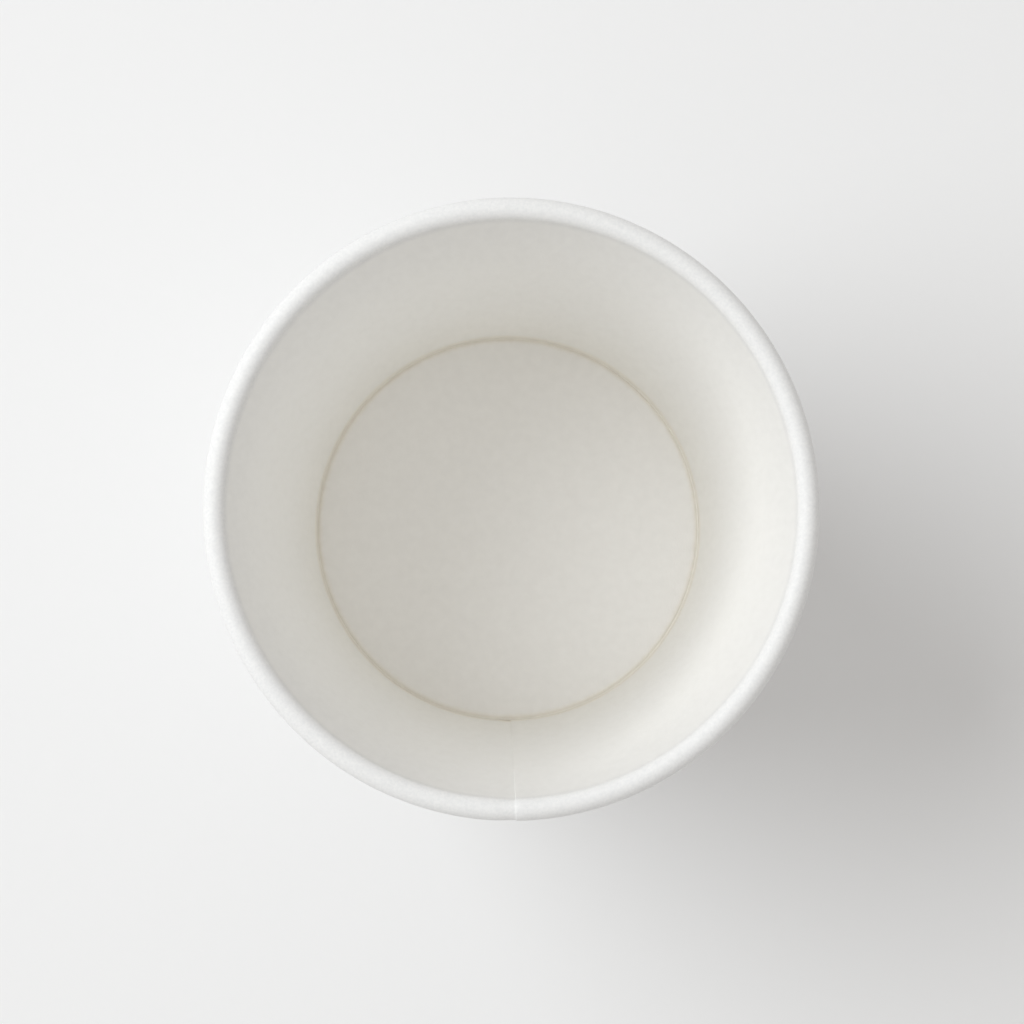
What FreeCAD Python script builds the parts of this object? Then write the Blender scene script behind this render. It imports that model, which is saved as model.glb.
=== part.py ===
import FreeCAD, Part
import math
import os

from FreeCAD import Vector

# Double wall paper cup in three pieces of board: an inner wall with a rolled rim and a folded hem, the
# bottom disc that the hem grips, and an outer sleeve that keeps an air gap round the inner wall.
# Units are millimetres. Z is the cup's axis and points up, and the origin is the centre of the foot.
# The side seam of the inner wall is at the front (-Y), and the seam of the sleeve is at the back (+Y).

# Overall sizes
rim_diameter = 80.0            # outside of the rim roll
foot_diameter = 56.0           # outside of the inner wall, carried down to the table
cup_height = 92.0
floor_height = 8.2             # top of the bottom disc above the table

# Boards
wall_board = 0.33
bottom_board = 0.30
sleeve_board = 0.33

# Rim roll of the inner wall
roll_core_radius = 0.84        # hollow left in the middle of the roll where the seam is rolled in
roll_gap = 0.10                # between the end of the roll and the wall
roll_tuck = 15.0               # degrees that the end of the roll turns past the wall

# Hem of the inner wall
foot_flat = 0.40               # width that the fold is pressed flat where it stands on the table
hem_clearance = 1.5            # from the top of the hem to the bend of the disc
skirt_clearance = 0.15         # from the edge of the disc's skirt to the fold of the hem

# Bottom disc
disc_bend_radius = 0.35        # inside of the bend from the floor into the skirt

# Side seam of the inner wall, as lengths round the foot
seam_direction = -89.2         # degrees from +X to the seam's inner edge
seam_overlap = 5.0
seam_press = 0.14              # thickness that each of the two layers loses as the seam is pressed
seam_skive = 0.12              # thickness left at the cut edge inside the cup
seam_step = 2.4                # length over which the outer layer climbs onto the inner one
seam_edge_bevel = 0.08         # bevel on the cut edge inside the cup

# Outer sleeve
sleeve_direction = 90.0        # degrees from +X to the sleeve's inner edge
sleeve_overlap = 8.0
sleeve_step = 1.5
sleeve_rim_gap = 0.20          # from the sleeve's top edge up to the rim roll
sleeve_foot_gap = 1.5          # from the table up to the sleeve's curl
sleeve_curl_radius = 0.40      # inside of the curl, which sets the width of the air gap
sleeve_curl_turn = 225.0       # degrees that the sleeve's lower edge turns inwards
glue_film = 0.02               # between the sleeve and the wall that it is glued to
ridge_margin = 0.3             # from the wall's seam to where the sleeve leaves its round form
ridge_ramp = 1.5               # length over which the sleeve climbs over the wall's seam

# Worked out from the sizes above
foot_radius = foot_diameter / 2
seam_layers = 2 * (wall_board - seam_press)
roll_offset = (seam_layers + roll_gap) / 2
roll_radius = roll_core_radius + seam_layers + roll_offset
roll_centre = Vector(rim_diameter / 2 - roll_radius, 0, cup_height - roll_radius)
disc_corner_radius = disc_bend_radius + bottom_board
hem_top = floor_height - disc_corner_radius - hem_clearance


def lean_past(low, high, radius):
    """Lean from the vertical of a line through one of two points that passes the other at a radius."""
    run = high.x - low.x
    rise = high.z - low.z
    return math.atan2(run, rise) - math.asin(radius / math.hypot(run, rise))


def along(lean):
    """Unit direction up a wall of the given lean."""
    return Vector(math.sin(lean), 0, math.cos(lean))


def outward(lean):
    """Unit normal of a wall of the given lean, away from the cup's axis."""
    return Vector(math.cos(lean), 0, -math.sin(lean))


def polar(centre, radius, angle):
    """Point at a radius from a centre, with the angle turned from +X towards +Z."""
    return centre + Vector(radius * math.cos(angle), 0, radius * math.sin(angle))


def line(start, end):
    """Straight edge between two points."""
    return Part.LineSegment(start, end).toShape()


def arc(centre, radius, first, last):
    """Round edge about a centre from one angle to another."""
    middle = (first + last) / 2
    points = [polar(centre, radius, angle) for angle in (first, middle, last)]
    return Part.Arc(*points).toShape()


def sheet_section(inner_face, outer_face):
    """Closed wire round a sheet, from its two faces as edges that run the same way."""
    start = line(inner_face[0].firstVertex(True).Point, outer_face[0].firstVertex(True).Point)
    end = line(inner_face[-1].lastVertex(True).Point, outer_face[-1].lastVertex(True).Point)
    return Part.Wire(Part.__sortEdges__([start] + outer_face + [end] + inner_face))


def turned(wire, angle):
    """Copy of a section turned about the cup's axis by an angle in degrees."""
    copy = wire.copy()
    copy.rotate(Vector(0, 0, 0), Vector(0, 0, 1), angle)
    return copy


def round_sector(wire, first, last):
    """Solid swept by a section about the cup's axis between two angles in degrees."""
    face = Part.Face(turned(wire, first))
    return face.revolve(Vector(0, 0, 0), Vector(0, 0, 1), last - first)


def ramp_sector(first_wire, first, last_wire, last):
    """Solid with straight rulings between two sections at two angles in degrees."""
    return Part.makeLoft([turned(first_wire, first), turned(last_wire, last)], True, True)


def joined(sectors):
    """One solid of sectors that meet face to face."""
    whole = sectors[0].multiFuse(sectors[1:]).removeSplitter()
    return whole.Solids[0]


def degrees_round(length):
    """Angle in degrees that a length round the foot takes."""
    return math.degrees(length / foot_radius)


# The inner wall leans so that its outer face starts at the foot and its inner face runs into the roll.
wall_lean = lean_past(Vector(foot_radius, 0, 0), roll_centre, roll_radius - wall_board)


def wall_point(depth, height):
    """Point of the wall's section at a depth outwards from its inner face and at a height."""
    base = Vector(foot_radius, 0, 0) + outward(wall_lean) * (depth - wall_board)
    return base + along(wall_lean) * ((height - base.z) / math.cos(wall_lean))


def fold_centre(thickness):
    """Centre of the hem's fold where the wall is so thick."""
    outside = bottom_board / 2 + thickness
    height = math.sqrt(outside**2 - (foot_flat / 2) ** 2)
    return wall_point(-bottom_board / 2, height)


def wall_face(thickness, depth):
    """Edges of one face of the wall's sheet, from the hem's raw edge to the end of the roll.

    The depth is measured outwards from the innermost face, through the wall's whole thickness there,
    and the fold of the outermost face is pressed flat on the table.
    """
    fold = fold_centre(thickness)
    fold_radius = bottom_board / 2 + depth
    inwards = math.pi - wall_lean
    outwards = 2 * math.pi - wall_lean
    leg_length = (hem_top - fold.z) / math.cos(wall_lean)
    leg_top = polar(fold, fold_radius, inwards) + along(wall_lean) * leg_length
    edges = [line(leg_top, polar(fold, fold_radius, inwards))]
    if depth == thickness:
        half_flat = math.asin(foot_flat / 2 / fold_radius)
        flat_start = 1.5 * math.pi - half_flat
        flat_end = 1.5 * math.pi + half_flat
        edges.append(arc(fold, fold_radius, inwards, flat_start))
        edges.append(line(polar(fold, fold_radius, flat_start), polar(fold, fold_radius, flat_end)))
        edges.append(arc(fold, fold_radius, flat_end, outwards))
    else:
        edges.append(arc(fold, fold_radius, inwards, outwards))
    outer_turn = roll_radius - depth
    inner_turn = outer_turn - roll_offset
    inner_centre = roll_centre + Vector(roll_offset, 0, 0)
    roll_end = -math.pi - math.radians(roll_tuck)
    edges.append(line(polar(fold, fold_radius, outwards), polar(roll_centre, outer_turn, inwards)))
    edges.append(arc(roll_centre, outer_turn, inwards, 0))
    edges.append(arc(inner_centre, inner_turn, 0, roll_end))
    return edges


def wall_section(thickness, inner_depth):
    """Section of the wall where it is so thick, from a depth to its outer face."""
    return sheet_section(wall_face(thickness, inner_depth), wall_face(thickness, thickness))


def make_inner_wall():
    """Inner wall: one blank with a side seam, rolled out at the top and folded in at the foot."""
    seam_start = seam_direction - degrees_round(seam_step)
    bevel_end = seam_direction + degrees_round(seam_edge_bevel)
    seam_end = seam_direction + degrees_round(seam_overlap)
    single = wall_section(wall_board, 0)
    double = wall_section(seam_layers, 0)
    climbed = wall_section(seam_layers, seam_skive)
    cut_edge = wall_section(seam_layers, seam_edge_bevel)
    return joined(
        [
            round_sector(single, seam_end, seam_start + 360),
            ramp_sector(single, seam_start, climbed, seam_direction),
            ramp_sector(cut_edge, seam_direction, double, bevel_end),
            round_sector(double, bevel_end, seam_end),
        ]
    )


def make_bottom_disc():
    """Bottom disc: a flat floor with its edge bent down into a skirt that lies against the wall."""
    bend_centre = wall_point(-disc_corner_radius, floor_height - disc_corner_radius)
    skirt_end = fold_centre(seam_layers).z - bottom_board / 2 + skirt_clearance
    skirt_outside = wall_point(0, skirt_end)
    skirt_inside = skirt_outside - outward(wall_lean) * bottom_board
    top_centre = Vector(0, 0, floor_height)
    under_centre = Vector(0, 0, floor_height - bottom_board)
    top_face = [
        line(top_centre, polar(bend_centre, disc_corner_radius, math.pi / 2)),
        arc(bend_centre, disc_corner_radius, math.pi / 2, -wall_lean),
        line(polar(bend_centre, disc_corner_radius, -wall_lean), skirt_outside),
    ]
    under_face = [
        line(under_centre, polar(bend_centre, disc_bend_radius, math.pi / 2)),
        arc(bend_centre, disc_bend_radius, math.pi / 2, -wall_lean),
        line(polar(bend_centre, disc_bend_radius, -wall_lean), skirt_inside),
    ]
    return round_sector(sheet_section(under_face, top_face), 0, 360)


def sleeve_face(layers, depth, ridge):
    """Edges of one face of the sleeve's sheet, from its top edge to the end of its lower curl.

    The depth is measured outwards from the innermost face, and the ridge is how far the wall's seam
    lifts the sleeve off the round wall.
    """
    contact = wall_board + ridge + glue_film
    curl_outside = sleeve_curl_radius + layers * sleeve_board
    curl_centre = wall_point(contact + curl_outside, sleeve_foot_gap + curl_outside)
    roll_underside = roll_centre.z - (roll_radius - roll_offset)
    top = wall_point(contact, roll_underside - sleeve_rim_gap)
    lean = lean_past(curl_centre, top, sleeve_curl_radius)
    curl_end = -lean - math.radians(sleeve_curl_turn)
    curl_start = polar(curl_centre, sleeve_curl_radius + depth, -lean)
    return [
        line(top + outward(lean) * depth, curl_start),
        arc(curl_centre, sleeve_curl_radius + depth, -lean, curl_end),
    ]


def sleeve_section(layers, inner_depth, outer_depth, ridge):
    """Section of the sleeve between two depths, where it is so many layers thick."""
    return sheet_section(
        sleeve_face(layers, inner_depth, ridge), sleeve_face(layers, outer_depth, ridge)
    )


def make_outer_sleeve():
    """Outer sleeve: one blank with a seam at the back, lifted over the wall's seam at the front."""
    ramp = degrees_round(ridge_ramp)
    ridge_start = seam_direction - degrees_round(seam_step + ridge_margin)
    ridge_end = seam_direction + degrees_round(seam_overlap + ridge_margin)
    seam_start = sleeve_direction - degrees_round(sleeve_step)
    seam_end = sleeve_direction + degrees_round(sleeve_overlap)
    single = sleeve_section(1, 0, sleeve_board, 0)
    raised = sleeve_section(1, 0, sleeve_board, seam_layers - wall_board)
    climbing = sleeve_section(2, sleeve_board, 2 * sleeve_board, 0)
    double = sleeve_section(2, 0, 2 * sleeve_board, 0)
    landing = sleeve_section(2, 0, sleeve_board, 0)
    return joined(
        [
            round_sector(single, ridge_end + ramp, seam_start),
            ramp_sector(single, seam_start, climbing, sleeve_direction),
            round_sector(double, sleeve_direction, seam_end),
            ramp_sector(landing, seam_end, single, seam_end + ramp),
            round_sector(single, seam_end + ramp, ridge_start - ramp + 360),
            ramp_sector(single, ridge_start - ramp, raised, ridge_start),
            round_sector(raised, ridge_start, ridge_end),
            ramp_sector(raised, ridge_end, single, ridge_end + ramp),
        ]
    )


os.makedirs("parts", exist_ok=True)
pieces = {
    "inner_wall": make_inner_wall(),
    "bottom_disc": make_bottom_disc(),
    "outer_sleeve": make_outer_sleeve(),
}
for name, solid in pieces.items():
    box = solid.BoundBox
    print(
        f"{name}: valid {solid.isValid()}, closed {solid.isClosed()}, {len(solid.Solids)} solid,"
        f" {len(solid.Faces)} faces, {solid.Volume:.1f} mm3,"
        f" z {box.ZMin:.3f} to {box.ZMax:.3f}, radius {box.XMax:.3f}"
    )
    solid.exportStep(f"parts/{name}.step")
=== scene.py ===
"""Dresses the double wall paper cup: its three pieces of board at full detail, their finishes, the table.

Every length is in metres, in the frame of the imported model: Z up the cup's axis, the origin at the centre
of the foot, the seam of the inner wall at the front (-Y) and the seam of the sleeve at the back (+Y).
"""
import logging
import math
from collections.abc import Callable
from dataclasses import dataclass
from enum import Enum
from typing import Any

import bpy
from mathutils import Matrix, Vector


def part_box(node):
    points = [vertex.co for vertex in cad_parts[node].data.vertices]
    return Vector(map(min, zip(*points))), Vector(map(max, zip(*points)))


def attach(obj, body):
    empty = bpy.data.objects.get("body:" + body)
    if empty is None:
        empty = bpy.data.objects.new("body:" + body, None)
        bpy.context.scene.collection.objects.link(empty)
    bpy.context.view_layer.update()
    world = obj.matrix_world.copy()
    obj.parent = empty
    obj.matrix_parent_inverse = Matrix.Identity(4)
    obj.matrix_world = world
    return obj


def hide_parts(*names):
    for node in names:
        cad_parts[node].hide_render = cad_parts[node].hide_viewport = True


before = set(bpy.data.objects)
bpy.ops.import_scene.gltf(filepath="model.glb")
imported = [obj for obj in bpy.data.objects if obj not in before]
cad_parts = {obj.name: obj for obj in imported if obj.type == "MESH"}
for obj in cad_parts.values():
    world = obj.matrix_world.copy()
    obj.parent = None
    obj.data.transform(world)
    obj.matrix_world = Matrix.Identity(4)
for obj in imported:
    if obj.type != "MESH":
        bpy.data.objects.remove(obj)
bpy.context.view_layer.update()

logging.basicConfig(level=logging.INFO, format="%(message)s")
log = logging.getLogger("paper_cup")

MM = 0.001
WELD = 0.0005 * MM
FULL_TURN = 2 * math.pi
SMOOTH_CREASE = math.radians(35.0)
BEVEL_STEPS = 3
MOUTH_OVALITY = 0.006
CAGE_ROOM = 1.25
NOISE_LOW = 0.3
NOISE_HIGH = 0.7

Colour = tuple[float, float, float]
Stretch = tuple[float, float, float]
PlaceKey = tuple[int, int, int]


class Node(Enum):
    """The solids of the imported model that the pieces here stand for."""

    INNER_WALL = "inner_wall"
    BOTTOM_DISC = "bottom_disc"
    OUTER_SLEEVE = "outer_sleeve"


class Slot(Enum):
    """The record's material slots."""

    COATED_BOARD = "coated_board"
    BOTTOM_BOARD = "bottom_board"
    PLAIN_BOARD = "plain_board"


class Measure(Enum):
    """What a tint on a board, real staining or painted shade, is measured along."""

    HEIGHT = "height above the table"
    RADIUS = "distance from the cup's axis"


# ---------------------------------------------------------------------------------------------------------
# Working by hand on one piece
# ---------------------------------------------------------------------------------------------------------


def deselect_all() -> None:
    """Leaves edit mode and deselects every object."""
    if bpy.context.object and bpy.context.object.mode != "OBJECT":
        bpy.ops.object.mode_set(mode="OBJECT")
    bpy.ops.object.select_all(action="DESELECT")


def take(piece: bpy.types.Object) -> None:
    """Makes one piece the only selected and active object.

    Args:
        piece: The piece.
    """
    deselect_all()
    piece.select_set(True)
    bpy.context.view_layer.objects.active = piece


def edit(piece: bpy.types.Object, select: str = "DESELECT") -> None:
    """Opens a piece in edit mode with vertices to pick, and selects all of it or none of it.

    Args:
        piece: The mesh object.
        select: What the first selection does, SELECT or DESELECT.
    """
    take(piece)
    bpy.ops.object.mode_set(mode="EDIT")
    bpy.ops.mesh.select_mode(type="VERT")
    bpy.ops.mesh.select_all(action=select)


def pick_vertices(piece: bpy.types.Object, wanted: Callable[[Vector], bool]) -> None:
    """Opens a piece in edit mode with only the vertices selected that pass a test.

    Args:
        piece: The mesh object.
        wanted: Takes a vertex's place and says whether it is picked.
    """
    edit(piece)
    bpy.ops.object.mode_set(mode="OBJECT")
    flags = [wanted(vertex.co) for vertex in piece.data.vertices]
    piece.data.vertices.foreach_set("select", flags)
    bpy.ops.object.mode_set(mode="EDIT")


def place_key(place: Vector) -> PlaceKey:
    """Names a place by whole steps of the weld distance, to find its vertex again."""
    return (round(place.x / WELD), round(place.y / WELD), round(place.z / WELD))


def group_places(piece: bpy.types.Object, name: str) -> set[PlaceKey]:
    """Places of the vertices in one vertex group of a piece.

    Args:
        piece: The mesh object.
        name: The group's name.

    Returns:
        The names of the places.
    """
    group = piece.vertex_groups[name].index
    return {
        place_key(vertex.co)
        for vertex in piece.data.vertices
        if any(member.group == group for member in vertex.groups)
    }


# ---------------------------------------------------------------------------------------------------------
# Drawing a sheet: sections, spun runs, and the joins between them
# ---------------------------------------------------------------------------------------------------------


@dataclass(frozen=True)
class Straight:
    """A straight stretch of a section, up to an end point."""

    end: Vector
    steps: int = 1

    def draw(self, tip: Vector) -> Vector:
        """Extrudes the selected vertex to the end point.

        Args:
            tip: Where the vertex is before.

        Returns:
            Where it is then.
        """
        step = (self.end - tip) / self.steps
        for _ in range(self.steps):
            bpy.ops.mesh.extrude_vertices_move(TRANSFORM_OT_translate={"value": step})
        return self.end


@dataclass(frozen=True)
class Round:
    """A round stretch of a section, turned about a centre from +X towards +Z."""

    centre: Vector
    turn: float
    steps: int

    def draw(self, tip: Vector) -> Vector:
        """Spins the selected vertex about the centre.

        Args:
            tip: Where the vertex is before.

        Returns:
            Where it is then.
        """
        bpy.ops.mesh.spin(steps=self.steps, angle=self.turn, center=self.centre, axis=(0, 1, 0))
        return self.centre + Matrix.Rotation(-self.turn, 3, "Y") @ (tip - self.centre)


@dataclass(frozen=True)
class Section:
    """One face of a sheet, cut through by a half plane that holds the cup's axis."""

    start: Vector
    strokes: tuple[Straight | Round, ...]

    def draw(self, name: str, heading: float = 0.0) -> bpy.types.Object:
        """Draws the section as a chain of edges.

        Args:
            name: The name of the new object.
            heading: The half plane's angle from +X, in radians.

        Returns:
            The new object, at the origin.
        """
        deselect_all()
        bpy.ops.mesh.primitive_plane_add(size=MM, location=self.start)
        chain = bpy.context.object
        chain.name = name
        bpy.ops.object.transform_apply()
        edit(chain, "SELECT")
        bpy.ops.mesh.merge(type="CENTER")
        tip = self.start
        for stroke in self.strokes:
            tip = stroke.draw(tip)
        bpy.ops.object.mode_set(mode="OBJECT")
        chain.rotation_euler.z = heading
        bpy.ops.object.transform_apply()
        return chain


@dataclass(frozen=True)
class Run:
    """A stretch of a sheet round the cup that has one section and one thickness.

    It runs between two angles in radians, or is a single line of the sheet where it has no steps.
    """

    section: Section
    board: float
    first: float
    last: float
    steps: int

    def spin(self, name: str) -> bpy.types.Object:
        """Spins the section round the cup's axis.

        Args:
            name: The name of the new object, which its two end chains are named after.

        Returns:
            The new object. Its end chains are the vertex groups NAME_first and NAME_last, and the
            group board weighs each vertex by the sheet's thickness in millimetres.
        """
        strip = self.section.draw(name, self.first)
        chain = range(len(strip.data.vertices))
        last_chain = list(chain)
        if self.steps:
            edit(strip, "SELECT")
            bpy.ops.mesh.spin(
                steps=self.steps, angle=self.last - self.first, center=(0, 0, 0), axis=(0, 0, -1)
            )
            bpy.ops.object.mode_set(mode="OBJECT")
            last_chain = [vertex.index for vertex in strip.data.vertices if vertex.select]
        everything = range(len(strip.data.vertices))
        strip.vertex_groups.new(name=f"{name}_first").add(chain, 1.0, "REPLACE")
        strip.vertex_groups.new(name=f"{name}_last").add(last_chain, 1.0, "REPLACE")
        strip.vertex_groups.new(name="board").add(everything, self.board / MM, "REPLACE")
        return strip


def join_runs(name: str, runs: list[Run]) -> bpy.types.Object:
    """Spins each run of a sheet and bridges it to the next one.

    Args:
        name: The name of the sheet.
        runs: The runs in order round the cup, all with as many points in their sections.

    Returns:
        The sheet as one open surface, with no thickness. Its two ends are the vertex groups
        first_edge and last_edge.
    """
    strips = [run.spin(f"{name}_{number}") for number, run in enumerate(runs)]
    sheet = strips[0]
    take(sheet)
    for strip in strips:
        strip.select_set(True)
    bpy.ops.object.join()
    for number in range(len(runs) - 1):
        edit(sheet)
        for group in (f"{name}_{number}_last", f"{name}_{number + 1}_first"):
            bpy.ops.object.vertex_group_set_active(group=group)
            bpy.ops.object.vertex_group_select()
        bpy.ops.mesh.bridge_edge_loops()
    bpy.ops.object.mode_set(mode="OBJECT")
    sheet.vertex_groups[f"{name}_0_first"].name = "first_edge"
    sheet.vertex_groups[f"{name}_{len(runs) - 1}_last"].name = "last_edge"
    sheet.name = name
    return sheet


def spin_whole(section: Section, name: str, steps: int) -> bpy.types.Object:
    """Spins a section once round the cup's axis and welds its seam and its pole.

    Args:
        section: The section to spin.
        name: The name of the new object.
        steps: How many steps the turn takes.

    Returns:
        The surface that the section sweeps.
    """
    whole = section.draw(name)
    edit(whole, "SELECT")
    bpy.ops.mesh.spin(steps=steps, angle=FULL_TURN, center=(0, 0, 0), axis=(0, 0, 1))
    bpy.ops.mesh.select_all(action="SELECT")
    bpy.ops.mesh.remove_doubles(threshold=WELD)
    bpy.ops.mesh.normals_make_consistent(inside=False)
    bpy.ops.object.mode_set(mode="OBJECT")
    return whole


def face_towards(sheet: bpy.types.Object, probe: Vector) -> None:
    """Makes the faces of an open sheet point one way.

    Args:
        sheet: The sheet.
        probe: A point that the face nearest to it then looks towards.
    """
    edit(sheet, "SELECT")
    bpy.ops.mesh.normals_make_consistent(inside=False)
    bpy.ops.object.mode_set(mode="OBJECT")
    nearest = min(sheet.data.polygons, key=lambda polygon: (polygon.center - probe).length)
    if nearest.normal.dot(probe - nearest.center) < 0:
        edit(sheet, "SELECT")
        bpy.ops.mesh.flip_normals()
        bpy.ops.object.mode_set(mode="OBJECT")


def thicken(sheet: bpy.types.Object) -> None:
    """Gives a sheet the thickness in its group board, on the side that its faces point to.

    Args:
        sheet: The open sheet, which becomes a closed board.
    """
    take(sheet)
    solidify = sheet.modifiers.new("board", "SOLIDIFY")
    solidify.thickness = MM
    solidify.vertex_group = "board"
    solidify.thickness_vertex_group = 0.0
    solidify.offset = 1.0
    solidify.use_even_offset = True
    bpy.ops.object.modifier_apply(modifier=solidify.name)


def soften_edge(sheet: bpy.types.Object, places: set[PlaceKey], width: float) -> None:
    """Bevels a sharp corner of a board.

    Args:
        sheet: The thickened sheet.
        places: The places of the corner's vertices.
        width: The width of the bevel.
    """
    pick_vertices(sheet, lambda place: place_key(place) in places)
    bpy.ops.mesh.bevel(offset=width, segments=BEVEL_STEPS, affect="EDGES", clamp_overlap=True)
    bpy.ops.object.mode_set(mode="OBJECT")


def eased(share: float) -> float:
    """Share of a climb that starts and ends level, at a share of its length."""
    return share * share * (3 - 2 * share)


# ---------------------------------------------------------------------------------------------------------
# The lines that the pieces share
# ---------------------------------------------------------------------------------------------------------


def lean_past(low: Vector, high: Vector, radius: float) -> float:
    """Lean of a line that starts at one point and passes another at a radius.

    Args:
        low: The point that the line starts from.
        high: The point that it passes.
        radius: How far from that point it passes.

    Returns:
        The angle from the vertical in radians.
    """
    run = high.x - low.x
    rise = high.z - low.z
    return math.atan2(run, rise) - math.asin(radius / math.hypot(run, rise))


def along(lean: float) -> Vector:
    """Unit direction up a wall of the given lean."""
    return Vector((math.sin(lean), 0, math.cos(lean)))


def outward(lean: float) -> Vector:
    """Unit normal of a wall of the given lean, away from the cup's axis."""
    return Vector((math.cos(lean), 0, -math.sin(lean)))


def polar(centre: Vector, radius: float, angle: float) -> Vector:
    """Point at a radius from a centre, with the angle turned from +X towards +Z."""
    return centre + Vector((radius * math.cos(angle), 0, radius * math.sin(angle)))


@dataclass(frozen=True)
class CupForm:
    """The cup's sizes that more than one piece needs, and the places that follow from them."""

    rim_radius: float
    height: float
    floor_height: float
    foot_radius: float = 28.0 * MM
    wall_board: float = 0.33 * MM
    bottom_board: float = 0.30 * MM
    sleeve_board: float = 0.33 * MM
    roll_core_radius: float = 0.84 * MM
    roll_gap: float = 0.10 * MM
    foot_flat: float = 0.40 * MM
    seam_heading: float = math.radians(-89.2)
    seam_overlap: float = 5.0 * MM
    seam_press: float = 0.14 * MM
    seam_skive: float = 0.12 * MM
    seam_step: float = 2.4 * MM
    climb_steps: int = 5

    @property
    def seam_layers(self) -> float:
        """Thickness of the seam, whose two layers are pressed together."""
        return 2 * (self.wall_board - self.seam_press)

    @property
    def seam_cover(self) -> float:
        """Thickness of the seam's outer layer, over the skived edge of the inner one."""
        return self.seam_layers - self.seam_skive

    @property
    def roll_offset(self) -> float:
        """How far the second half of the rim roll is set outwards from the first."""
        return (self.seam_layers + self.roll_gap) / 2

    @property
    def roll_radius(self) -> float:
        """Outside radius of the rim roll."""
        return self.roll_core_radius + self.seam_layers + self.roll_offset

    @property
    def roll_centre(self) -> Vector:
        """Centre of the rim roll in the section."""
        return Vector((self.rim_radius - self.roll_radius, 0, self.height - self.roll_radius))

    @property
    def lean(self) -> float:
        """Lean of the inner wall, which runs from the foot into the roll."""
        foot = Vector((self.foot_radius, 0, 0))
        return lean_past(foot, self.roll_centre, self.roll_radius - self.wall_board)

    def wall_point(self, depth: float, height: float) -> Vector:
        """Point of the wall's section.

        Args:
            depth: How far outwards it is from the wall's inner face.
            height: How high it is.

        Returns:
            The point in the XZ plane.
        """
        base = Vector((self.foot_radius, 0, 0)) + outward(self.lean) * (depth - self.wall_board)
        return base + along(self.lean) * ((height - base.z) / math.cos(self.lean))

    def fold_centre(self, thickness: float) -> Vector:
        """Centre of the hem's fold.

        Args:
            thickness: How thick the wall is there.

        Returns:
            The point in the XZ plane.
        """
        outside = self.bottom_board / 2 + thickness
        height = math.sqrt(outside**2 - (self.foot_flat / 2) ** 2)
        return self.wall_point(-self.bottom_board / 2, height)

    def turn_for(self, length: float) -> float:
        """Angle in radians that a length round the foot takes."""
        return length / self.foot_radius


# ---------------------------------------------------------------------------------------------------------
# Finishes
# ---------------------------------------------------------------------------------------------------------


@dataclass(frozen=True)
class NodeDesk:
    """Adds the nodes of one material and wires them."""

    tree: bpy.types.NodeTree

    def add(self, kind: str, sockets: dict[str | int, Any], **settings: Any) -> bpy.types.Node:
        """Adds a node.

        Args:
            kind: The node's type.
            sockets: Its inputs by name or number, each with another node's output or a value.
            settings: The node's own settings.

        Returns:
            The new node.
        """
        node = self.tree.nodes.new(kind)
        for name, value in settings.items():
            setattr(node, name, value)
        for name, value in sockets.items():
            self.feed(node.inputs[name], value)
        return node

    def feed(self, socket: bpy.types.NodeSocket, value: Any) -> None:
        """Links an input to another node's output, or sets its value.

        Args:
            socket: The input.
            value: Another node's output or a plain value.
        """
        if isinstance(value, bpy.types.NodeSocket):
            self.tree.links.new(value, socket)
        else:
            socket.default_value = value

    def blend(self, share: Any, under: Any, over: Any, way: str = "MIX") -> bpy.types.NodeSocket:
        """Blends two colours by a share of the second one.

        Args:
            share: The share of the second colour.
            under: The first colour.
            over: The second colour.
            way: The Mix node's blend type.

        Returns:
            The output with the blended colour.
        """
        node = self.add(
            "ShaderNodeMix", {0: share, 6: under, 7: over}, data_type="RGBA", blend_type=way
        )
        return node.outputs[2]

    def spread(self, value: Any, low: float, high: float) -> bpy.types.NodeSocket:
        """Spreads a noise's middle range over the span between two values.

        Args:
            value: The noise.
            low: The value where the noise is low.
            high: The value where the noise is high.

        Returns:
            The output with the spread value.
        """
        middle = {"Value": value, "From Min": NOISE_LOW, "From Max": NOISE_HIGH}
        span = {"To Min": low, "To Max": high}
        return self.add("ShaderNodeMapRange", middle | span).outputs["Result"]


@dataclass(frozen=True)
class StainOrPaintedShade:
    """A tint over a board that fades out between two places: real staining, or painted shade.

    Noise may break up its edge by a distance, and fine grain may thin it by a share.
    """

    measure: Measure
    full: float
    clear: float
    tint: Colour
    ragged: float = 0.0
    grain: float = 0.0
    grain_size: float = 0.36 * MM
    grain_detail: float = 3.0


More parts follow.
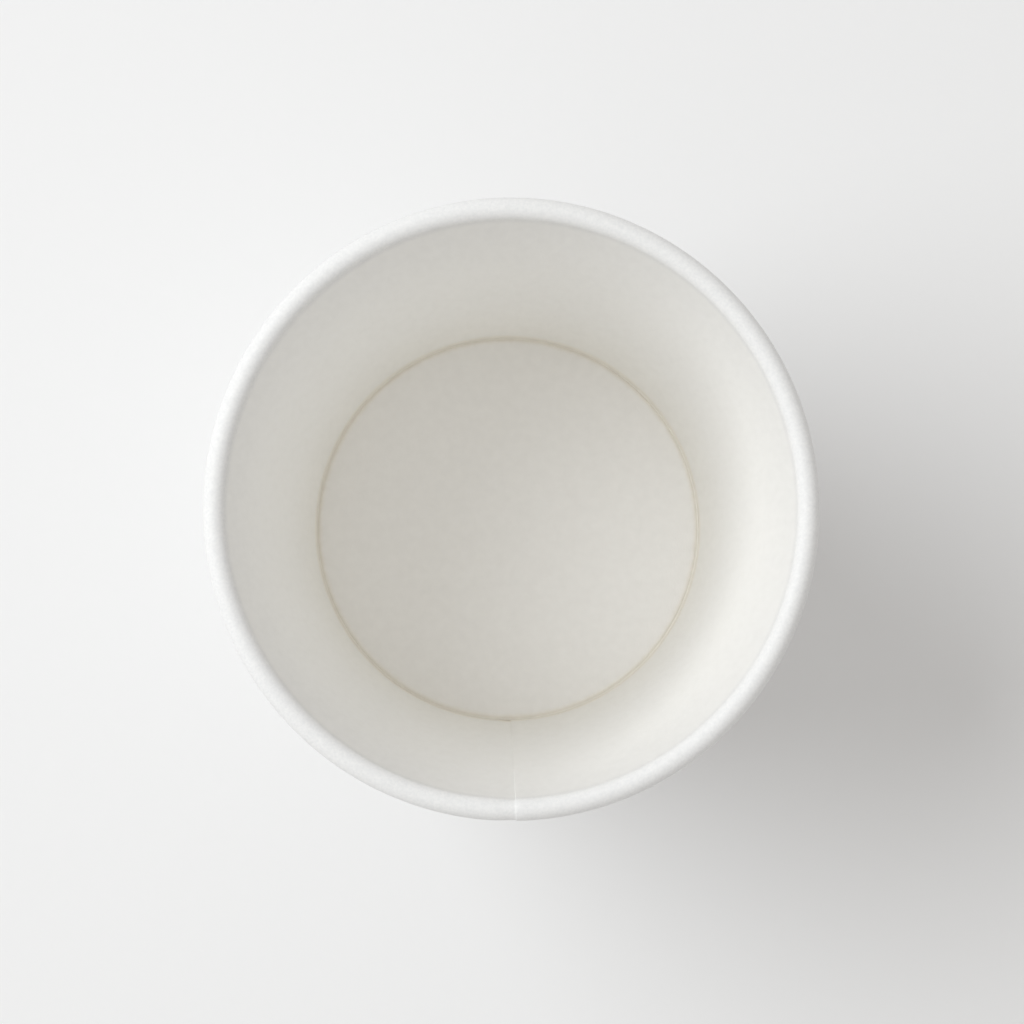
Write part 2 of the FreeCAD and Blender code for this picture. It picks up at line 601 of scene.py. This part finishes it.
@dataclass(frozen=True)
class BoardFinish:
    """White cup board: its colour, the clouds of its pulp, and the fibres that lift its surface."""

    name: str
    colour: Colour
    cloud_colour: Colour
    roughness: float
    roughness_spread: float
    specular: float
    fibre_lift: float
    fibre_size: float = 0.35 * MM
    fibre_stretch: Stretch = (1.0, 1.0, 0.4)
    fibre_detail: float = 5.0
    cloud_size: float = 1.3 * MM
    cloud_stretch: Stretch = (1.0, 1.0, 1.0)
    cloud_detail: float = 5.0
    sway_size: float = 7.0 * MM
    sway_lift: float = 0.015 * MM
    sway_detail: float = 2.0
    stains_and_painted_shade: tuple[StainOrPaintedShade, ...] = ()

    def make(self) -> bpy.types.Material:
        """Makes the material, with its patterns on Object coordinates.

        Returns:
            The new material.
        """
        material = bpy.data.materials.new(self.name)
        material.use_nodes = True
        desk = NodeDesk(material.node_tree)
        shader = material.node_tree.nodes["Principled BSDF"]
        place = desk.add("ShaderNodeTexCoord", {}).outputs["Object"]
        drawn = desk.add("ShaderNodeMapping", {"Vector": place, "Scale": self.cloud_stretch})
        clouds = self.noise(desk, drawn.outputs["Vector"], self.cloud_size, self.cloud_detail)
        paint = desk.blend(clouds, (*self.colour, 1), (*self.cloud_colour, 1))
        for stain_or_shade in self.stains_and_painted_shade:
            paint = self.lay_stain_or_painted_shade(desk, place, clouds, paint, stain_or_shade)
        low = self.roughness - self.roughness_spread
        high = self.roughness + self.roughness_spread
        desk.feed(shader.inputs["Base Color"], paint)
        desk.feed(shader.inputs["Roughness"], desk.spread(clouds, low, high))
        desk.feed(shader.inputs["Specular IOR Level"], self.specular)
        desk.feed(shader.inputs["Normal"], self.relief(desk, place))
        return material

    def noise(
        self, desk: NodeDesk, place: bpy.types.NodeSocket, size: float, detail: float
    ) -> bpy.types.NodeSocket:
        """Noise with lumps of a size.

        Args:
            desk: The material's nodes.
            place: The coordinates that it lies on.
            size: The size of its lumps.
            detail: How many finer layers it has.

        Returns:
            The output with the noise.
        """
        sockets = {"Vector": place, "Scale": 1 / size, "Detail": detail}
        return desk.add("ShaderNodeTexNoise", sockets).outputs["Fac"]

    def relief(self, desk: NodeDesk, place: bpy.types.NodeSocket) -> bpy.types.NodeSocket:
        """Lifts fine fibres, drawn out along the grain, from a board that sways a little.

        Args:
            desk: The material's nodes.
            place: The Object coordinates.

        Returns:
            The output with the bumped normal.
        """
        grain = desk.add("ShaderNodeMapping", {"Vector": place, "Scale": self.fibre_stretch})
        fibres = self.noise(desk, grain.outputs["Vector"], self.fibre_size, self.fibre_detail)
        sway = self.noise(desk, place, self.sway_size, self.sway_detail)
        swayed = desk.add("ShaderNodeBump", {"Distance": self.sway_lift, "Height": sway})
        lifted = {"Distance": self.fibre_lift, "Height": fibres, "Normal": swayed.outputs["Normal"]}
        return desk.add("ShaderNodeBump", lifted).outputs["Normal"]

    def lay_stain_or_painted_shade(
        self,
        desk: NodeDesk,
        place: bpy.types.NodeSocket,
        clouds: bpy.types.NodeSocket,
        paint: bpy.types.NodeSocket,
        stain_or_shade: StainOrPaintedShade,
    ) -> bpy.types.NodeSocket:
        """Tints the paint on one side of the edge of a real staining or a painted shade.

        Args:
            desk: The material's nodes.
            place: The Object coordinates.
            clouds: The noise that makes the tint's edge ragged.
            paint: The colour so far.
            stain_or_shade: The real staining or painted shade.

        Returns:
            The output with the tinted colour.
        """
        if stain_or_shade.measure is Measure.HEIGHT:
            reach = desk.add("ShaderNodeSeparateXYZ", {"Vector": place}).outputs["Z"]
        else:
            flat = desk.add(
                "ShaderNodeVectorMath", {0: place, 1: (1.0, 1.0, 0.0)}, operation="MULTIPLY"
            )
            reach = desk.add(
                "ShaderNodeVectorMath", {0: flat.outputs["Vector"]}, operation="LENGTH"
            ).outputs["Value"]
        shift = desk.spread(clouds, -stain_or_shade.ragged, stain_or_shade.ragged)
        reach = desk.add("ShaderNodeMath", {0: reach, 1: shift}, operation="ADD").outputs["Value"]
        share = desk.add(
            "ShaderNodeMapRange",
            {"Value": reach, "From Min": stain_or_shade.clear, "From Max": stain_or_shade.full},
            interpolation_type="SMOOTHSTEP",
        ).outputs["Result"]
        if stain_or_shade.grain:
            speckle = self.noise(desk, place, stain_or_shade.grain_size, stain_or_shade.grain_detail)
            thinned = desk.spread(speckle, 1 - stain_or_shade.grain, 1.0)
            share = desk.add(
                "ShaderNodeMath", {0: share, 1: thinned}, operation="MULTIPLY"
            ).outputs["Value"]
        return desk.blend(share, paint, (*stain_or_shade.tint, 1), "MULTIPLY")


# ---------------------------------------------------------------------------------------------------------
# The pieces
# ---------------------------------------------------------------------------------------------------------


@dataclass(frozen=True)
class CupPiece:
    """A piece of board of the cup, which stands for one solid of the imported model."""

    form: CupForm

    def dress(
        self, piece: bpy.types.Object, node: Node, slot: Slot, finish: BoardFinish
    ) -> bpy.types.Object:
        """Shades a piece, gives it its finish and puts it in its solid's place.

        Args:
            piece: The modelled piece.
            node: The solid that it stands for.
            slot: The record's slot; not used.
            finish: Its board.

        Returns:
            The piece.
        """
        take(piece)
        bpy.ops.object.shade_smooth_by_angle(angle=SMOOTH_CREASE)
        piece.vertex_groups.clear()
        piece.data.materials.clear()
        piece.data.materials.append(finish.make())
        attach(piece, "root")
        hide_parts(node.value)
        triangles = sum(len(polygon.vertices) - 2 for polygon in piece.data.polygons)
        log.info("%s: %d triangles", piece.name, triangles)
        return piece


@dataclass(frozen=True)
class InnerWall(CupPiece):
    """The inner blank: rolled rim, leaning wall and folded hem, lapped on itself at the front."""

    roll_tuck: float = math.radians(15.0)
    hem_top: float = 6.05 * MM
    edge_bevel: float = 0.105 * MM
    join_length: float = 0.15 * MM
    knurl_depth: float = 0.13 * MM
    knurl_low: float = 1.3 * MM
    knurl_high: float = 5.2 * MM
    leg_steps: int = 8
    fold_steps: int = 12
    wall_steps: int = 30
    outer_turn_steps: int = 18
    inner_turn_steps: int = 18
    round_steps: int = 256

    def section(self, thickness: float, depth: float) -> Section:
        """Section of one face of the sheet, from the hem's raw edge to the end of the roll.

        Args:
            thickness: How thick the whole wall is there.
            depth: How far outwards the face is from the innermost one.

        Returns:
            The section in the XZ plane.
        """
        form = self.form
        fold = form.fold_centre(thickness)
        fold_radius = form.bottom_board / 2 + depth
        inwards = math.pi - form.lean
        leg_length = (self.hem_top - fold.z) / math.cos(form.lean)
        leg_foot = polar(fold, fold_radius, inwards)
        inner_centre = form.roll_centre + Vector((form.roll_offset, 0, 0))
        wall_end = polar(form.roll_centre, form.roll_radius - depth, inwards)
        strokes = (
            Straight(leg_foot, self.leg_steps),
            Round(fold, math.pi, self.fold_steps),
            Straight(wall_end, self.wall_steps),
            Round(form.roll_centre, -inwards, self.outer_turn_steps),
            Round(inner_centre, -math.pi - self.roll_tuck, self.inner_turn_steps),
        )
        return Section(leg_foot + along(form.lean) * leg_length, strokes)

    def climb(self, first: float, last: float) -> list[Run]:
        """Single lines of the sheet where its outer layer climbs onto the inner one.

        Args:
            first: The angle where it leaves the single wall.
            last: The angle of the inner layer's cut edge.

        Returns:
            The lines between the two ends of the climb.
        """
        form = self.form
        lines = []
        for number in range(1, form.climb_steps):
            share = number / form.climb_steps
            rise = eased(share)
            board = form.wall_board + (form.seam_cover - form.wall_board) * rise
            depth = form.seam_skive * rise
            heading = first + (last - first) * share
            lines.append(Run(self.section(board + depth, depth), board, heading, heading, 0))
        return lines

    def build(self) -> bpy.types.Object:
        """Builds the sheet, thickens it and presses its details in.

        Returns:
            The wall as a closed board.
        """
        form = self.form
        start = form.seam_heading
        lap = form.turn_for(form.seam_overlap)
        lap_end = start + lap
        main_first = lap_end + form.turn_for(self.join_length)
        main_last = start + FULL_TURN - form.turn_for(form.seam_step)
        cover_first = start + FULL_TURN
        pitch = FULL_TURN / self.round_steps
        lap_steps = round(lap / pitch)
        main_steps = round((main_last - main_first) / pitch)
        under = self.section(form.seam_layers, 0)
        single = self.section(form.wall_board, 0)
        cover = self.section(form.seam_layers, form.seam_skive)
        runs = [
            Run(under, form.seam_skive, start, lap_end, lap_steps),
            Run(single, form.wall_board, main_first, main_last, main_steps),
            *self.climb(main_last, cover_first),
            Run(cover, form.seam_cover, cover_first, cover_first + lap, lap_steps),
        ]
        wall = join_runs(Node.INNER_WALL.value + "_board", runs)
        cut_corner = group_places(wall, "first_edge")
        outside = Vector((0, 2 * form.rim_radius, form.height / 2))
        face_towards(wall, outside)
        thicken(wall)
        self.press_foot(wall)
        self.press_knurl(wall, main_first, (main_last - main_first) / main_steps)
        soften_edge(wall, cut_corner, self.edge_bevel)
        return wall

    def press_foot(self, wall: bpy.types.Object) -> None:
        """Presses the fold of the hem flat on the table.

        Args:
            wall: The thickened wall.
        """
        pick_vertices(wall, lambda place: place.z < 0)
        bpy.ops.transform.resize(value=(1, 1, 0), center_override=(0, 0, 0))
        bpy.ops.object.mode_set(mode="OBJECT")

    def press_knurl(self, wall: bpy.types.Object, first: float, pitch: float) -> None:
        """Presses upright grooves into the hem, where a knurled wheel gripped the disc.

        Args:
            wall: The thickened wall.
            first: The angle of the first column of vertices that may be pressed.
            pitch: The angle between two columns.
        """
        form = self.form
        exposed = -form.bottom_board - form.wall_board / 2

        def pressed(place: Vector) -> bool:
            """Picks every second column of vertices on the hem's bare face.

            Args:
                place: A vertex's place.

            Returns:
                Whether the vertex is pressed.
            """
            if not self.knurl_low < place.z < self.knurl_high:
                return False
            if math.hypot(place.x, place.y) > form.wall_point(exposed, place.z).x:
                return False
            turned = (math.atan2(place.y, place.x) - first) % FULL_TURN
            return round(turned / pitch) % 2 == 1

        pick_vertices(wall, pressed)
        bpy.ops.transform.shrink_fatten(value=-self.knurl_depth)
        bpy.ops.object.mode_set(mode="OBJECT")

    def finish(self) -> BoardFinish:
        """Board with a satin coating: a sealing tint with painted corner shade where it meets the disc,
        painted warm bounce light towards the floor, and painted shade towards the rim and on the roll.

        Returns:
            The finish.
        """
        form = self.form
        # Painted shade: the whole roll is darkened to tone down the light on the bright rim; its grain is
        # the board's own speckle.
        roll = StainOrPaintedShade(
            Measure.HEIGHT,
            full=form.height - 0.9 * MM,
            clear=form.height - 3.8 * MM,
            tint=(0.885, 0.892, 0.904),
            grain=0.65,
        )
        # Painted shade: the wall darkens towards the rim, standing in for less light reaching its top.
        upper = StainOrPaintedShade(
            Measure.HEIGHT,
            full=form.height - 6 * MM,
            clear=form.height - 32 * MM,
            tint=(0.984, 0.984, 0.984),
        )
        # Partly the sealing's own tint at the foot of the wall, partly painted shade in its corner with the
        # disc.
        seal_and_corner_shade = StainOrPaintedShade(
            Measure.HEIGHT,
            full=form.floor_height + 0.2 * MM,
            clear=form.floor_height + 2.4 * MM,
            tint=(0.97, 0.95, 0.905),
            ragged=0.3 * MM,
        )
        # Painted bounce light: warmer and a little darker towards the floor, where light bounces between
        # the walls.
        painted_bounce_warmth = StainOrPaintedShade(
            Measure.HEIGHT,
            full=form.floor_height,
            clear=form.floor_height + 30 * MM,
            tint=(0.995, 0.99, 0.975),
        )
        return BoardFinish(
            "coated_board",
            colour=(0.975, 0.970, 0.954),
            cloud_colour=(0.905, 0.900, 0.884),
            roughness=0.5,
            roughness_spread=0.06,
            specular=0.3,
            fibre_lift=0.02 * MM,
            cloud_size=1.1 * MM,
            cloud_stretch=(1.0, 1.0, 0.25),
            stains_and_painted_shade=(roll, upper, seal_and_corner_shade, painted_bounce_warmth),
        )


@dataclass(frozen=True)
class BottomDisc(CupPiece):
    """The drawn disc: a flat floor whose edge bends down into a skirt inside the wall."""

    bend_radius: float = 0.35 * MM
    skirt_clearance: float = 0.15 * MM
    bead_sink: float = 0.10 * MM
    bead_depth: float = 0.45 * MM
    bead_gap: float = 0.01 * MM
    bead_grip: float = 0.08 * MM
    bead_top: float = math.radians(50.0)
    bead_foot: float = math.radians(15.0)
    plug_sink: float = 0.33 * MM
    plug_grip: float = 0.03 * MM
    plug_end: float = 0.995
    floor_steps: int = 24
    bend_steps: int = 8
    skirt_steps: int = 5
    round_steps: int = 192

    @property
    def corner(self) -> float:
        """Outside radius of the bend."""
        return self.bend_radius + self.form.bottom_board

    @property
    def bend_centre(self) -> Vector:
        """Centre of the bend in the section."""
        return self.form.wall_point(-self.corner, self.form.floor_height - self.corner)

    def build(self) -> bpy.types.Object:
        """Spins the disc's upper face, gives it its board downwards and seals its edge.

        Returns:
            The disc with its bead and its plug.
        """
        form = self.form
        centre = self.bend_centre
        fold = form.fold_centre(form.seam_layers)
        skirt_end = fold.z - form.bottom_board / 2 + self.skirt_clearance
        section = Section(
            Vector((0, 0, form.floor_height)),
            (
                Straight(polar(centre, self.corner, math.pi / 2), self.floor_steps),
                Round(centre, -math.pi / 2 - form.lean, self.bend_steps),
                Straight(form.wall_point(0, skirt_end), self.skirt_steps),
            ),
        )
        disc = spin_whole(section, Node.BOTTOM_DISC.value + "_board", self.round_steps)
        everything = range(len(disc.data.vertices))
        disc.vertex_groups.new(name="board").add(everything, form.bottom_board / MM, "REPLACE")
        face_towards(disc, Vector((form.foot_radius / 2, 0, -form.height)))
        thicken(disc)
        coating = (self.lay_bead(), self.fill_pocket())
        take(disc)
        for part in coating:
            part.select_set(True)
        bpy.ops.object.join()
        return disc

    def lay_bead(self) -> bpy.types.Object:
        """Spins the bead of coating that fills the corner between the disc and the wall.

        Returns:
            The bead.
        """
        form = self.form
        held = self.corner - self.bead_grip
        shore = polar(self.bend_centre, held, self.bead_top)
        wall_top = form.wall_point(-self.bead_gap, form.floor_height - self.bead_sink)
        trough = (shore + wall_top) / 2 - Vector((0, 0, self.bead_sink / 2))
        wall_foot = form.wall_point(-self.bead_gap, form.floor_height - self.bead_depth)
        strokes = (
            Straight(trough),
            Straight(wall_top),
            Straight(wall_foot),
            Straight(polar(self.bend_centre, held, self.bead_foot)),
            Straight(shore),
        )
        return spin_whole(Section(shore, strokes), "bead", self.round_steps)

    def fill_pocket(self) -> bpy.types.Object:
        """Fills the pocket beside the seam's cut edge, along the lines of the wall's own climb.

        Returns:
            The plug of coating, up to just short of the cut edge.
        """
        form = self.form
        depth = -self.bead_gap - self.plug_grip
        top = form.wall_point(depth, form.floor_height - self.plug_sink)
        foot = form.wall_point(depth, form.floor_height - self.bead_depth)
        section = Section(top, (Straight(foot),))
        lines = []
        for number in range(1, form.climb_steps + 1):
            share = min(number / form.climb_steps, self.plug_end)
            board = form.seam_skive * eased(share) + self.plug_grip
            heading = form.seam_heading - form.turn_for(form.seam_step) * (1 - share)
            lines.append(Run(section, board, heading, heading, 0))
        plug = join_runs("plug", lines)
        face_towards(plug, Vector((0, -2 * form.rim_radius, form.floor_height)))
        thicken(plug)
        return plug

    def finish(self) -> BoardFinish:
        """Coated board with a tint along the bend where the bead seals it to the wall: partly the sealing's
        own colour, partly painted shade in the corner.

        Returns:
            The finish.
        """
        edge = self.bend_centre.x
        # Partly the sealing's own tint along the bend, partly painted shade in its corner with the wall.
        seal_and_corner_shade = StainOrPaintedShade(
            Measure.RADIUS,
            full=edge + 0.55 * MM,
            clear=edge - 0.45 * MM,
            tint=(0.965, 0.945, 0.90),
            ragged=0.12 * MM,
        )
        return BoardFinish(
            "bottom_board",
            colour=(0.945, 0.934, 0.917),
            cloud_colour=(0.883, 0.872, 0.855),
            roughness=0.52,
            roughness_spread=0.06,
            specular=0.3,
            fibre_lift=0.024 * MM,
            fibre_stretch=(1.0, 0.4, 1.0),
            stains_and_painted_shade=(seal_and_corner_shade,),
        )


@dataclass(frozen=True)
class OuterSleeve(CupPiece):
    """The outer blank: a second wall lapped at the back, with its lower edge curled in."""

    seam_heading: float = math.radians(90.0)
    seam_overlap: float = 8.0 * MM
    seam_step: float = 1.5 * MM
    rim_gap: float = 0.20 * MM
    foot_gap: float = 1.5 * MM
    curl_radius: float = 0.40 * MM
    curl_turn: float = math.radians(225.0)
    glue_film: float = 0.02 * MM
    ridge_margin: float = 0.3 * MM
    ridge_ramp: float = 1.5 * MM
    edge_bevel: float = 0.08 * MM
    wall_steps: int = 40
    curl_steps: int = 18
    round_steps: int = 240

    def section(self, layers: int, depth: float, ridge: float) -> Section:
        """Section of one face of the sheet, from its top edge to the end of its lower curl.

        Args:
            layers: How many layers the sleeve is thick there.
            depth: How far outwards the face is from the innermost one.
            ridge: How far the wall's seam lifts the sleeve there.

        Returns:
            The section in the XZ plane.
        """
        form = self.form
        contact = form.wall_board + ridge + self.glue_film
        curl_outside = self.curl_radius + layers * form.sleeve_board
        curl_centre = form.wall_point(contact + curl_outside, self.foot_gap + curl_outside)
        roll_underside = form.roll_centre.z - (form.roll_radius - form.roll_offset)
        top = form.wall_point(contact, roll_underside - self.rim_gap)
        lean = lean_past(curl_centre, top, self.curl_radius)
        strokes = (
            Straight(polar(curl_centre, self.curl_radius + depth, -lean), self.wall_steps),
            Round(curl_centre, -self.curl_turn, self.curl_steps),
        )
        return Section(top + outward(lean) * depth, strokes)

    def build(self) -> bpy.types.Object:
        """Builds the sheet with its lap at the back and its lift over the wall's seam.

        Returns:
            The sleeve as a closed board.
        """
        form = self.form
        ramp = form.turn_for(self.ridge_ramp)
        ridge_first = form.seam_heading - form.turn_for(form.seam_step + self.ridge_margin)
        ridge_last = form.seam_heading + form.turn_for(form.seam_overlap + self.ridge_margin)
        lap = form.turn_for(self.seam_overlap)
        start = self.seam_heading
        pitch = FULL_TURN / self.round_steps
        single = self.section(1, 0, 0)
        raised = self.section(1, 0, form.seam_layers - form.wall_board)
        under = self.section(2, 0, 0)
        cover = self.section(2, form.sleeve_board, 0)
        climb_first = start + FULL_TURN - form.turn_for(self.seam_step)
        cover_first = start + FULL_TURN
        stretches = [
            (under, start, start + lap),
            (single, start + lap + ramp, ridge_first + FULL_TURN - ramp),
            (raised, ridge_first + FULL_TURN, ridge_last + FULL_TURN),
            (single, ridge_last + FULL_TURN + ramp, climb_first),
            (cover, cover_first, cover_first + lap),
        ]
        runs = [
            Run(section, form.sleeve_board, first, last, round((last - first) / pitch))
            for section, first, last in stretches
        ]
        sleeve = join_runs(Node.OUTER_SLEEVE.value + "_board", runs)
        inner_corner = group_places(sleeve, "last_edge")
        face_towards(sleeve, Vector((2 * form.rim_radius, 0, form.height / 2)))
        thicken(sleeve)
        outer_corner = group_places(sleeve, "last_edge") - inner_corner
        soften_edge(sleeve, outer_corner, self.edge_bevel)
        return sleeve

    def finish(self) -> BoardFinish:
        """Uncoated board, matt and a little coarser than the inside.

        Returns:
            The finish.
        """
        return BoardFinish(
            "plain_board",
            colour=(0.885, 0.885, 0.875),
            cloud_colour=(0.86, 0.858, 0.845),
            roughness=0.72,
            roughness_spread=0.08,
            specular=0.25,
            fibre_lift=0.022 * MM,
        )


def press_oval(pieces: list[bpy.types.Object], form: CupForm, share: float) -> None:
    """Presses the standing cup a little oval, more and more towards its mouth.

    Args:
        pieces: The cup's pieces, which keep their fit.
        form: The cup's sizes.
        share: How much narrower from side to side the mouth gets, and how much wider from front to
            back, as a share of its width.
    """
    cage_width = 2 * CAGE_ROOM * form.rim_radius
    deselect_all()
    bpy.ops.object.add(type="LATTICE", location=(0, 0, form.height / 2))
    cage = bpy.context.object
    cage.scale = (cage_width, cage_width, form.height)
    cage.data.interpolation_type_u = "KEY_LINEAR"
    cage.data.interpolation_type_v = "KEY_LINEAR"
    cage.data.interpolation_type_w = "KEY_LINEAR"
    for point in cage.data.points:
        if point.co.z > 0:
            point.co_deform.x *= 1 - share
            point.co_deform.y *= 1 + share
    bpy.context.view_layer.update()
    for piece in pieces:
        take(piece)
        oval = piece.modifiers.new("oval", "LATTICE")
        oval.object = cage
        bpy.ops.object.modifier_apply(modifier=oval.name)
    bpy.data.objects.remove(cage)


# ---------------------------------------------------------------------------------------------------------
# The table, the light and the camera
# ---------------------------------------------------------------------------------------------------------


@dataclass(frozen=True)
class SoftLight:
    """A round lamp that is wide enough for soft shadows."""

    name: str
    place: Vector
    width: float
    power: float
    colour: Colour

    def hang(self, target: Vector) -> None:
        """Adds the lamp at its place.

        Args:
            target: The point that it is turned to.
        """
        deselect_all()
        bpy.ops.object.light_add(type="AREA", location=self.place)
        lamp = bpy.context.object
        lamp.name = self.name
        lamp.data.shape = "DISK"
        lamp.data.size = self.width
        lamp.data.energy = self.power
        lamp.data.color = self.colour
        lamp.rotation_euler = (target - self.place).to_track_quat("-Z", "Y").to_euler()


@dataclass(frozen=True)
class Studio:
    """A pale table under soft light, and the camera above the cup."""

    form: CupForm
    table_side: float = 6.0
    table_colour: Colour = (0.885, 0.885, 0.885)
    table_roughness: float = 0.9
    table_specular: float = 0.2
    sky_strength: float = 0.546
    sky_colour: Colour = (1.0, 0.979, 0.955)
    light_bounces: int = 12
    window: SoftLight = SoftLight(
        name="window",
        place=Vector((-0.906, 0.33, 1.149)),
        width=1.2,
        power=14.0,
        colour=(0.95, 0.979, 1.0),
    )
    camera_place: Vector = Vector((-3.55 * MM, -19.1 * MM, 527.2 * MM))
    camera_target: Vector = Vector((0.06 * MM, -0.51 * MM, 0.0))
    focal_length: float = 144.19
    sensor: float = 36.0

    def build(self) -> None:
        """Lays the table and sets the light and the camera."""
        self.lay_table()
        self.light_room()
        self.window.hang(Vector((0, 0, self.form.height / 2)))
        self.set_camera()

    def lay_table(self) -> None:
        """Lays a plain pale table under the foot."""
        deselect_all()
        bpy.ops.mesh.primitive_plane_add(size=self.table_side, location=(0, 0, 0))
        table = bpy.context.object
        table.name = "table"
        material = bpy.data.materials.new("table_top")
        material.use_nodes = True
        shader = material.node_tree.nodes["Principled BSDF"]
        shader.inputs["Base Color"].default_value = (*self.table_colour, 1)
        shader.inputs["Roughness"].default_value = self.table_roughness
        shader.inputs["Specular IOR Level"].default_value = self.table_specular
        table.data.materials.append(material)

    def light_room(self) -> None:
        """Fills the room with an even soft light, and lets it go round the white cup many times."""
        world = bpy.data.worlds.new("room")
        world.use_nodes = True
        bpy.context.scene.world = world
        background = world.node_tree.nodes["Background"]
        background.inputs["Color"].default_value = (*self.sky_colour, 1)
        background.inputs["Strength"].default_value = self.sky_strength
        bpy.context.scene.cycles.diffuse_bounces = self.light_bounces

    def set_camera(self) -> None:
        """Sets the camera high above the mouth and a little to the front, with the back at its top."""
        rim = Vector((0, 0, self.form.height))
        place = rim + self.camera_place
        ahead = (rim + self.camera_target - place).normalized()
        right = ahead.cross(Vector((0, 1, 0))).normalized()
        turn = Matrix((right, right.cross(ahead), -ahead)).transposed()
        deselect_all()
        bpy.ops.object.camera_add(location=place, rotation=turn.to_euler())
        camera = bpy.context.object
        camera.name = "camera"
        camera.data.lens = self.focal_length
        camera.data.sensor_width = self.sensor
        bpy.context.scene.camera = camera


# ---------------------------------------------------------------------------------------------------------
# Putting it together
# ---------------------------------------------------------------------------------------------------------


def main() -> None:
    """Builds the pieces in order, dresses them and sets the studio."""
    _, wall_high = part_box(Node.INNER_WALL.value)
    _, floor_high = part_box(Node.BOTTOM_DISC.value)
    form = CupForm(rim_radius=wall_high.x, height=wall_high.z, floor_height=floor_high.z)
    wall, disc, sleeve = InnerWall(form), BottomDisc(form), OuterSleeve(form)
    pieces = [
        wall.dress(wall.build(), Node.INNER_WALL, Slot.COATED_BOARD, wall.finish()),
        disc.dress(disc.build(), Node.BOTTOM_DISC, Slot.BOTTOM_BOARD, disc.finish()),
        sleeve.dress(sleeve.build(), Node.OUTER_SLEEVE, Slot.PLAIN_BOARD, sleeve.finish()),
    ]
    press_oval(pieces, form, MOUTH_OVALITY)
    Studio(form).build()
    bpy.context.scene.view_settings.view_transform = "Standard"


if __name__ == "__main__":
    main()
